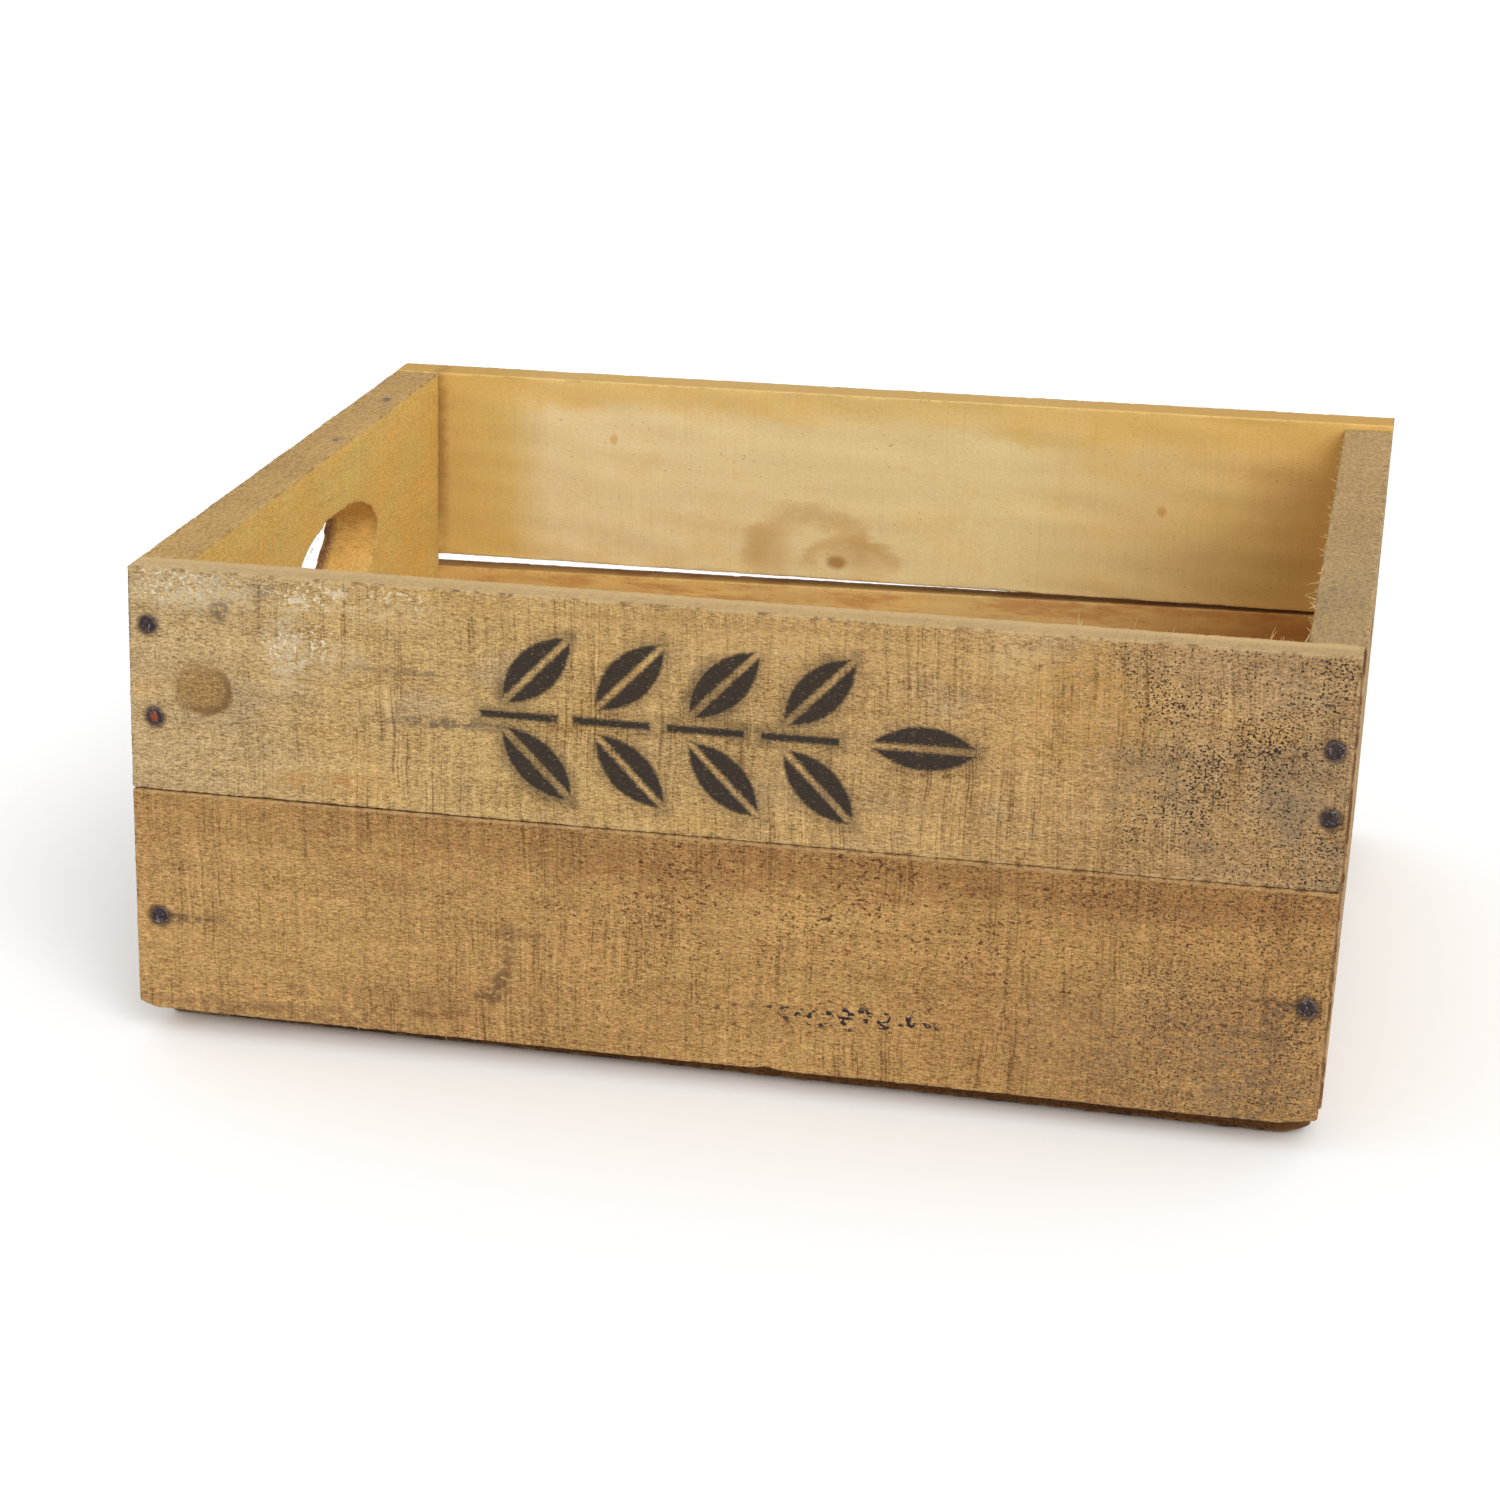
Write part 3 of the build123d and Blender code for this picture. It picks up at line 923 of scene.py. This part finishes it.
def nail_steel():
    wood = Timber("nail_steel")
    rust = wood.noise(wood.place, (2.2, 2.2, 2.2), 3.0, 0.6)
    dents = wood.noise(wood.place, (1.6, 1.6, 1.6), 2.0, 0.5)
    fine = wood.noise(wood.place, (0.5, 0.5, 0.5), 2.0, 0.6)
    wood.colour = wood.mix(wood.band(rust, 0.52, 0.66), tint(64, 54, 55), tint(92, 58, 40))
    glint = wood.noise(wood.place, (1.1, 1.1, 1.1), 3.0, 0.7)
    wood.lay((160, 150, 158), wood.band(glint, 0.58, 0.70, 0.0, 0.75))
    wood.lay((34, 28, 32), wood.band(glint, 0.44, 0.34, 0.0, 0.8))
    # Painted highlight: a pale ring at each nail head's rim.
    wood.lay((150, 136, 134), wood.band(wood.arris, 0.30, 0.10, 0.0, 0.35))
    red = wood.spot((-191.5, FRONT_FACE, 116.3), (1.3, 1.9, 1.7), 0.5, 1.2)
    wood.lay((166, 82, 46), red, 0.85)
    wood.heights.append(wood.total(wood.times(dents, 0.9), wood.times(fine, 0.25)))
    material = wood.done(wood.band(rust, 0.45, 0.65, 0.34, 0.7))
    wood.feed(wood.shader.inputs["Metallic"], wood.band(rust, 0.66, 0.46, 0.1, 0.8))
    return material


# ---------------------------------------------------------------- pieces


def with_fibres(values, count):
    """The named numbers of a board's points, with those of its torn fibres' points added after them."""
    longer = {label: np.concatenate([numbers, np.zeros(count)]) for label, numbers in values.items()}
    own = len(values["arris"])
    longer["torn_fibre"] = np.concatenate([np.zeros(own), np.ones(count)])
    return longer


def worn_box(size, arris, seed):
    """A box's skin whose arrises are uneven and chipped and whose faces are a little wavy.

    Also gives each point's distance from an arris, in millimetres, and 1 for the points of an end."""
    points, faces = box_skin(size, BOARD_STEP)
    half = np.array(size) / 2
    gap = arris_gap(points, half)
    end_grain = (half[0] - np.abs(points[:, 0]) < 0.01 * MM).astype(float)
    uneven = 1 + 0.30 * ripples(points, (22 * MM, 60 * MM, 60 * MM), 14, seed)
    chips = np.maximum(0, ripples(points, (7 * MM, 30 * MM, 30 * MM), 14, seed + 1) - 1.5)
    radius = arris * np.clip(uneven + chips, 0.4, 2.6)
    points = rounded(points, half, radius[:, None])
    torn = np.exp(-((gap / TORN_REACH) ** 2))
    fray(points, (3.2 * MM, 2.2 * MM, 2.2 * MM), 0.05 * MM * torn, seed + 2)
    skin = 0.10 * MM * ripples(points, (60 * MM, 14 * MM, 60 * MM), 12, seed + 6)
    points[:, 2] += skin * np.sign(points[:, 2]) * (1 - torn)
    return points, faces, {"arris": gap / MM, "end_grain": end_grain}


def board(node, slot, material, seed, arris=0.55 * MM, shape=None, extra=()):
    """A board in its CAD place: a worn box whose outer face is pressed in at the nails.

    Its width runs between the levels of the CAD board's two ends. shape may bend its points further."""
    low, high = (np.array(corner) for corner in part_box(node))
    flat = node.startswith("floor")
    wide, deep = (1, 2) if flat else (2, 1)
    (left_low, left_high), (right_low, right_high) = end_span(node, wide)
    length = high[0] - low[0]
    width = ((left_high - left_low) + (right_high - right_low)) / 2
    points, faces, values = worn_box((length, width, high[deep] - low[deep]), arris, seed)
    share = points[:, 0] / length + 0.5
    rise = points[:, 1] / width + 0.5
    placed = np.zeros_like(points)
    placed[:, 0] = points[:, 0] + (low[0] + high[0]) / 2
    bottom = left_low + (right_low - left_low) * share
    top = left_high + (right_high - left_high) * share
    placed[:, wide] = bottom + (top - bottom) * rise
    placed[:, deep] = points[:, 2] + (low[deep] + high[deep]) / 2
    outward = 1 if node.startswith("back") else -1
    face = high[deep] if outward > 0 else low[deep]
    near = np.abs(placed[:, deep] - face) < 2 * MM
    pressed = pressed_in(placed, node.removesuffix("_board"), deep) * near
    placed[:, deep] -= outward * SEAT_DEPTH * pressed
    if shape:
        placed = shape(placed, share, rise)
    points, faces = join([(placed, faces), *extra])
    values = with_fibres(values, len(points) - len(placed))
    settle(piece_from(node.replace("_board", "_plank"), points, faces, values), material, slot, node)


def hole_of(node):
    """The middle and half sizes, along Y and Z, of the hand hole in an end panel's CAD node."""
    points = cad_points(node)
    low, high = points.min(0), points.max(0)
    clear = np.all((points[:, 1:] > low[1:] + 12 * MM) & (points[:, 1:] < high[1:] - 12 * MM), axis=1)
    on_face = np.minimum(points[:, 0] - low[0], high[0] - points[:, 0]) < 0.01 * MM
    rim = points[clear & on_face, 1:]
    return (rim.min(0) + rim.max(0)) / 2, (rim.max(0) - rim.min(0)) / 2


def oval_distance(across, up, half):
    """About how far a point is outside an oval about the origin, and which way that is."""
    share = np.maximum(np.hypot(across / half[0], up / half[1]), 1e-9)
    slope = np.stack([across / half[0] ** 2, up / half[1] ** 2]) / share
    steep = np.linalg.norm(slope, axis=0)
    return (share - 1) / steep, slope[0] / steep, slope[1] / steep


def panel_skin(half, hole, oval):
    """An end panel's skin: a ring of sections, each a closed loop from the hand hole out to the edge.

    Also gives 1 for the points on the hole's wall and 0 for the others."""
    tops, sides = (stations(2 * span, PANEL_STEP)[:-1] for span in half[1:])
    rim = np.concatenate([
        np.stack([tops, np.full(len(tops), half[2])], 1),
        np.stack([np.full(len(sides), half[1]), -sides], 1),
        np.stack([-tops, np.full(len(tops), -half[2])], 1),
        np.stack([np.full(len(sides), -half[1]), sides], 1),
    ])
    way = rim - hole
    reach = np.linalg.norm(way, axis=1)
    way /= reach[:, None]
    edge = 1 / np.hypot(way[:, 0] / oval[0], way[:, 1] / oval[1])
    near = np.array([0.0, 0.12, 0.3, 0.6, 1.2, 2.2]) * MM
    inner = np.linspace(0, 1, 44)[1:-1]
    span = (reach - edge)[:, None]
    out = np.concatenate([
        np.repeat(near[None], len(rim), 0),
        near[-1] + (span - 2 * near[-1]) * inner[None],
        span - near[None, ::-1],
    ], 1)
    thick = stations(2 * half[0], PANEL_STEP)[1:-1]
    away = np.concatenate([
        out, np.repeat(span, len(thick), 1), out[:, ::-1], np.zeros((len(rim), len(thick)))], 1)
    deep = np.concatenate([
        np.full(out.shape[1], half[0]), -thick, np.full(out.shape[1], -half[0]), thick])
    flat = hole[None, None] + way[:, None] * (edge[:, None] + away)[..., None]
    points = np.concatenate([np.repeat(deep[None], len(rim), 0)[..., None], flat], 2).reshape(-1, 3)
    faces = grid_faces(len(rim), len(deep), closed_rows=True)
    return points, faces, (away == 0).reshape(-1).astype(float)


def worn_hole_edges(points, half, outside, across, up, seed):
    """Rounds the hand hole's two edges by an uneven radius: both distances to an edge shrink to it."""
    worn = 1.0 * MM * np.clip(1 + 0.35 * ripples(points, (60 * MM, 16 * MM, 16 * MM), 14, seed), 0.4, 2)
    rim_side = np.maximum(worn - outside, 0)
    face_side = np.maximum(worn - (half[0] - np.abs(points[:, 0])), 0)
    long = np.maximum(np.hypot(rim_side, face_side), 1e-9)
    shrink = np.minimum(1, worn / long)
    points[:, 1] += across * rim_side * (1 - shrink)
    points[:, 2] += up * rim_side * (1 - shrink)
    points[:, 0] -= np.sign(points[:, 0]) * face_side * (1 - shrink)


def torn_lip(points, lip, depth, outside, across, up, seed):
    """The hole's back end stands forward by up to lip at the outer face, where the wood broke out."""
    broken = np.clip((depth - 0.75) / 0.25, 0, 1) ** 2
    fade = np.exp(-((np.maximum(outside, 0) / (9 * MM)) ** 2)) * np.clip(across * 1.6, 0, 1)
    rag = 1 + 0.05 * ripples(points, (30 * MM, 30 * MM, 7 * MM), 12, seed) * broken
    points[:, 1] -= lip * (1 - 0.5 * up) * (0.4 * depth + 0.6 * broken) * fade * rag


def end_panel(node, material, seed, lip, extra=()):
    """An end panel in its CAD place, worn at its arrises and round its hand hole."""
    low, high = (np.array(corner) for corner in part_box(node))
    middle = (low + high) / 2
    half = (high - low) / 2
    hole, oval = hole_of(node)
    hole = hole - middle[1:]
    points, faces, hole_wall = panel_skin(half, hole, oval)
    gap = arris_gap(points, half)
    uneven = 1 + 0.3 * ripples(points, (60 * MM, 22 * MM, 40 * MM), 14, seed)
    radius = 0.7 * MM * np.clip(uneven, 0.5, 1.8)
    outside, _, _ = oval_distance(points[:, 1] - hole[0], points[:, 2] - hole[1], oval)
    points = np.where(outside[:, None] > 3 * MM, rounded(points, half, radius[:, None]), points)
    outside, across, up = oval_distance(points[:, 1] - hole[0], points[:, 2] - hole[1], oval)
    worn_hole_edges(points, half, outside, across, up, seed + 1)
    rim_gap = np.maximum(outside, half[0] - np.abs(points[:, 0]))
    gap = np.minimum(gap, np.maximum(rim_gap, 0))
    depth = 0.5 + 0.5 * points[:, 0] / half[0] * np.sign(middle[0])
    torn_lip(points, lip, depth, outside, across, up, seed + 9)
    torn = np.exp(-((gap / TORN_REACH) ** 2))
    fray(points, (2.4 * MM, 3.4 * MM, 2.4 * MM), 0.06 * MM * torn, seed + 2)
    points += middle
    grain_end = hole_wall * np.maximum(np.abs(across) - 0.5, 0)
    values = with_fibres({"arris": gap / MM, "end_grain": grain_end, "hole_wall": hole_wall},
                         sum(len(part) for part, _ in extra))
    points, faces = join([(points, faces), *extra])
    settle(piece_from(node.replace("_panel", "_board"), points, faces, values), material, "end_pine",
           node)


def edge_splinters(start, stop, way, spread, count, length, width, seed):
    """Splinters rooted at random places along a straight edge, pointing about one way."""
    rng = np.random.default_rng(seed)
    start, stop = np.array(start) * MM, np.array(stop) * MM
    roots = start + (stop - start) * rng.uniform(0, 1, (count, 1))
    ways = np.array(way) + spread * rng.normal(size=(count, 3))
    lengths = length * MM * rng.uniform(0.35, 1.0, count) ** 2
    widths = width * MM * rng.uniform(0.5, 1.0, count)
    return splinters(roots, ways, lengths, widths, seed + 1)


def nail_skin(middle, axis, outer, length, shank, head, seed):
    """A wire nail turned about its axis: domed, hammered head, straight shank and a drawn-in point."""
    rng = np.random.default_rng(seed)
    profile = np.array([
        (0.0, 0.0), (0.4, 0.0), (0.72, -0.04), (0.88, -0.14), (0.97, -0.32), (1.0, -0.55), (1.0, -0.85),
        (0.95, -1.0), (0.5, -1.05)])
    profile[:, 0] *= head / 2
    profile[:, 1] *= 1 * MM
    body = np.array([
        (shank / 2, -1.3 * MM), (shank / 2, 4.5 * MM - length), (0.1 * MM, -length), (0, -length)])
    profile = np.concatenate([profile, body])
    turns = 26
    angle = np.arange(turns) * 2 * math.pi / turns
    lobes = sum(rng.uniform(0.0, 0.030) * np.cos(k * angle + rng.uniform(0, 6)) for k in (2, 3, 5, 6))
    wide = profile[:, :1] * (1 + lobes[None] * (profile[:, :1] > shank / 2))
    rise = np.repeat(profile[:, 1:], turns, 1)
    tilt = rng.uniform(-0.06, 0.06, 2)
    head_part = rise > -1.1 * MM
    rise = rise + head_part * wide * (tilt[0] * np.cos(angle) + tilt[1] * np.sin(angle))
    first = wide * np.cos(angle)
    second = wide * np.sin(angle)
    flat = [k for k in range(3) if k != axis]
    points = np.zeros((len(profile), turns, 3))
    points[..., flat[0]] = middle[flat[0]] + first
    points[..., flat[1]] = middle[flat[1]] + second
    points[..., axis] = outer[0] + outer[1] * rise
    rim = np.abs(np.repeat(profile[:, :1], turns, 1) - 0.95 * head / 2) / MM
    return points.reshape(-1, 3), grid_faces(len(profile), turns), rim.reshape(-1)


def nails(node, material, seed):
    """The nails of one board end, their heads flush with the board's face."""
    floor = node.startswith("floor")
    axis = 2 if floor else 1
    low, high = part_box(node)
    outward = 1 if node.startswith("back") else -1
    face = high[axis] if outward > 0 else low[axis]
    size = FLOOR_NAIL if floor else SIDE_NAIL
    skins = [nail_skin(middle, axis, (face, outward), *size, seed + count)
             for count, middle in enumerate(nail_middles(node))]
    points, faces = join([skin[:2] for skin in skins])
    values = {"arris": np.concatenate([skin[2] for skin in skins]), "end_grain": np.zeros(len(points))}
    settle(piece_from(node.replace("_nails", "_wire_nails"), points, faces, values), material,
           "nail_steel", node)


def recut_ends(points, share, longer):
    """A front board's right end is cut a little short, its left end a little long."""
    points[:, 0] -= 0.8 * MM * longer * np.clip(1 - share * 3, 0, 1) ** 4
    points[:, 0] -= 0.9 * MM * np.clip(share * 3 - 2, 0, 1) ** 4
    return points


def bowed_front_lower(points, share, rise):
    """The lower front board bows down at its bottom edge; its right corner is worn, its left end long."""
    x = points[:, 0] / MM
    bow = 0.6 * np.exp(-(((x - 150) / 45) ** 2)) - 0.9 * np.exp(-(((x - 19) / 3) ** 2))
    corner = np.clip((x - 186) / 14, 0, 1) ** 1.5 * 1.8
    corner += np.clip((-193.5 - x) / 6.5, 0, 1) ** 1.5 * 2.2
    points[:, 2] += (corner - bow) * MM * np.clip(1 - rise * 3, 0, 1) ** 3
    points[:, 2] += 0.32 * MM * rise ** 8 * np.clip(share * 3 - 0.6, 0, 1)
    return recut_ends(points, share, 1)


def worn_floor_front(points, share, rise):
    """The front floor board's lower front corner is worn away at its right end."""
    low = np.clip(1 - points[:, 2] / (10 * MM), 0, 1)
    near_front = np.clip(1 - rise * 4, 0, 1)
    near_end = np.clip((points[:, 0] / MM - 187) / 10, 0, 1)
    points[:, 2] += 3 * MM * low * near_front * near_end ** 1.4
    points[:, 1] += 1.5 * MM * near_front * near_end ** 2
    return points


def long_front_upper(points, share, rise):
    """The upper front board's left end is long at its foot only."""
    return recut_ends(points, share, 1 - rise)


front_upper = front_upper_pine()
front_lower = front_lower_pine()
# The inside ramps run darker and oranger towards their ends, most at the right: painted shade in the
# corners against the end panels.
back_upper = back_pine("back_upper_pine", "back_upper", 150, [
    (-190, tint(224, 186, 106)),
    (-152, tint(230, 198, 120)),
    (-134, tint(246, 224, 170)),
    (50, tint(244, 223, 162)),
    (110, tint(232, 202, 136)),
    (180, tint(236, 192, 112)),
], inner_knot=True)
back_lower = back_pine("back_lower_pine", "back_lower", 146, [
    (-190, tint(232, 190, 114)),
    (60, tint(232, 196, 124)),
    (190, tint(196, 138, 68)),
])
end_wood = end_pine()
floor_wood = floor_pine()
steel = nail_steel()

board("front_upper_board", "tan_pine", front_upper, 10, shape=long_front_upper, extra=[
    edge_splinters((-195, -149.6, 167.6), (195, -149.6, 167.6), (0.3, -0.4, 0.5), 0.6, 60, 2.2, 0.16, 11),
    edge_splinters((105, -138.4, 167.6), (185, -138.4, 167.6), (0.2, 0.3, 0.9), 0.5, 16, 5.0, 0.18, 13),
])
board("front_lower_board", "brown_pine", front_lower, 20, shape=bowed_front_lower, extra=[
    edge_splinters((-190, -149.4, 10.4), (-90, -149.4, 10.4), (0.4, -0.1, -1.0), 0.4, 14, 3.0, 0.18, 21),
])
board("back_upper_board", "pale_pine", back_upper, 30)
board("back_lower_board", "pale_pine", back_lower, 40)
board("floor_front_board", "floor_pine", floor_wood, 50, arris=0.9 * MM, shape=worn_floor_front)
board("floor_middle_board", "floor_pine", floor_wood, 60, arris=0.9 * MM)
board("floor_back_board", "floor_pine", floor_wood, 70, arris=0.9 * MM)
end_panel("left_end_panel", end_wood, 80, 12 * MM, extra=[
    edge_splinters((-182.2, -34, 133), (-182.2, -6, 142.4), (0.2, 0.9, 0.1), 0.35, 16, 4.5, 0.22, 81),
    edge_splinters((-182.2, -130, 167.4), (-182.2, 60, 167.4), (0.8, 0.4, 0.1), 0.6, 30, 2.4, 0.16, 83),
    edge_splinters((-181.8, -125, 158), (-181.8, 20, 150), (0.20, 0.3, 0.5), 0.5, 34, 5.0, 0.26, 85),
    edge_splinters((-181.8, -120, 144), (-181.8, -40, 138), (0.20, 0.3, 0.5), 0.5, 26, 4.0, 0.26, 87),
])
end_panel("right_end_panel", end_wood, 90, 5 * MM, extra=[
    edge_splinters((182.2, -137, 167.5), (182.2, 120, 167.5), (-0.8, 0.3, 0.2), 0.6, 80, 4.0, 0.20, 91),
    edge_splinters((182.2, -100, 167.5), (182.2, -60, 167.5), (-0.9, 0.2, -0.1), 0.6, 20, 6.0, 0.26, 93),
])
for count, node in enumerate(sorted(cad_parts)):
    if node.endswith("_nails"):
        nails(node, steel, 100 + 10 * count)


# ---------------------------------------------------------------- studio


def studio_floor():
    """A plain pale floor, wide enough to fill the view."""
    points = np.array([(-6, -4, 0), (6, -4, 0), (6, 12, 0), (-6, 12, 0)], float) - (0, 0, 0.5 * MM)
    mesh = bpy.data.meshes.new("studio_floor")
    mesh.from_pydata(points.tolist(), [], [(0, 1, 2, 3)])
    floor = bpy.data.objects.new("studio_floor", mesh)
    bpy.context.scene.collection.objects.link(floor)
    paint = bpy.data.materials.new("studio_floor")
    paint.use_nodes = True
    shader = paint.node_tree.nodes["Principled BSDF"]
    shader.inputs["Base Color"].default_value = (0.94, 0.95, 0.96, 1.0)
    shader.inputs["Roughness"].default_value = 0.9
    shader.inputs["Specular IOR Level"].default_value = 0.1
    floor.data.materials.append(paint)


def soft_sun(name, way, power, spread, colour):
    """A broad, even studio light that shines from one way all over, with soft-edged shadows."""
    lamp = bpy.data.lights.new(name, "SUN")
    lamp.energy = power
    lamp.angle = math.radians(spread)
    lamp.color = colour
    light = bpy.data.objects.new(name, lamp)
    bpy.context.scene.collection.objects.link(light)
    light.rotation_euler = (-Vector(way)).to_track_quat("-Z", "Y").to_euler()


def studio_camera():
    """A camera to the right of the crate's middle, looking down on it and turned back towards it."""
    lens = bpy.data.cameras.new("camera")
    lens.lens = 78.56
    lens.sensor_width = 36
    camera = bpy.data.objects.new("camera", lens)
    camera.location = (0.2124, -1.1131, 0.4773)
    look_down = math.radians(19.86)
    turn_left = math.radians(11.83)
    roll = math.radians(0.67)
    camera.rotation_mode = "QUATERNION"
    aim = Matrix.Rotation(turn_left, 3, "Z") @ Matrix.Rotation(math.pi / 2 - look_down, 3, "X")
    camera.rotation_quaternion = (aim @ Matrix.Rotation(roll, 3, "Z")).to_quaternion()
    bpy.context.scene.collection.objects.link(camera)
    bpy.context.scene.camera = camera


studio_floor()
studio_camera()
world = bpy.data.worlds.new("studio")
world.use_nodes = True
world.node_tree.nodes["Background"].inputs["Color"].default_value = (1.0, 1.0, 1.0, 1.0)
world.node_tree.nodes["Background"].inputs["Strength"].default_value = 0.92
bpy.context.scene.world = world
bpy.context.scene.view_settings.view_transform = "Standard"
soft_sun("front_light", (0.50, -0.65, 0.57), 1.62, 40, (1.0, 0.98, 0.95))
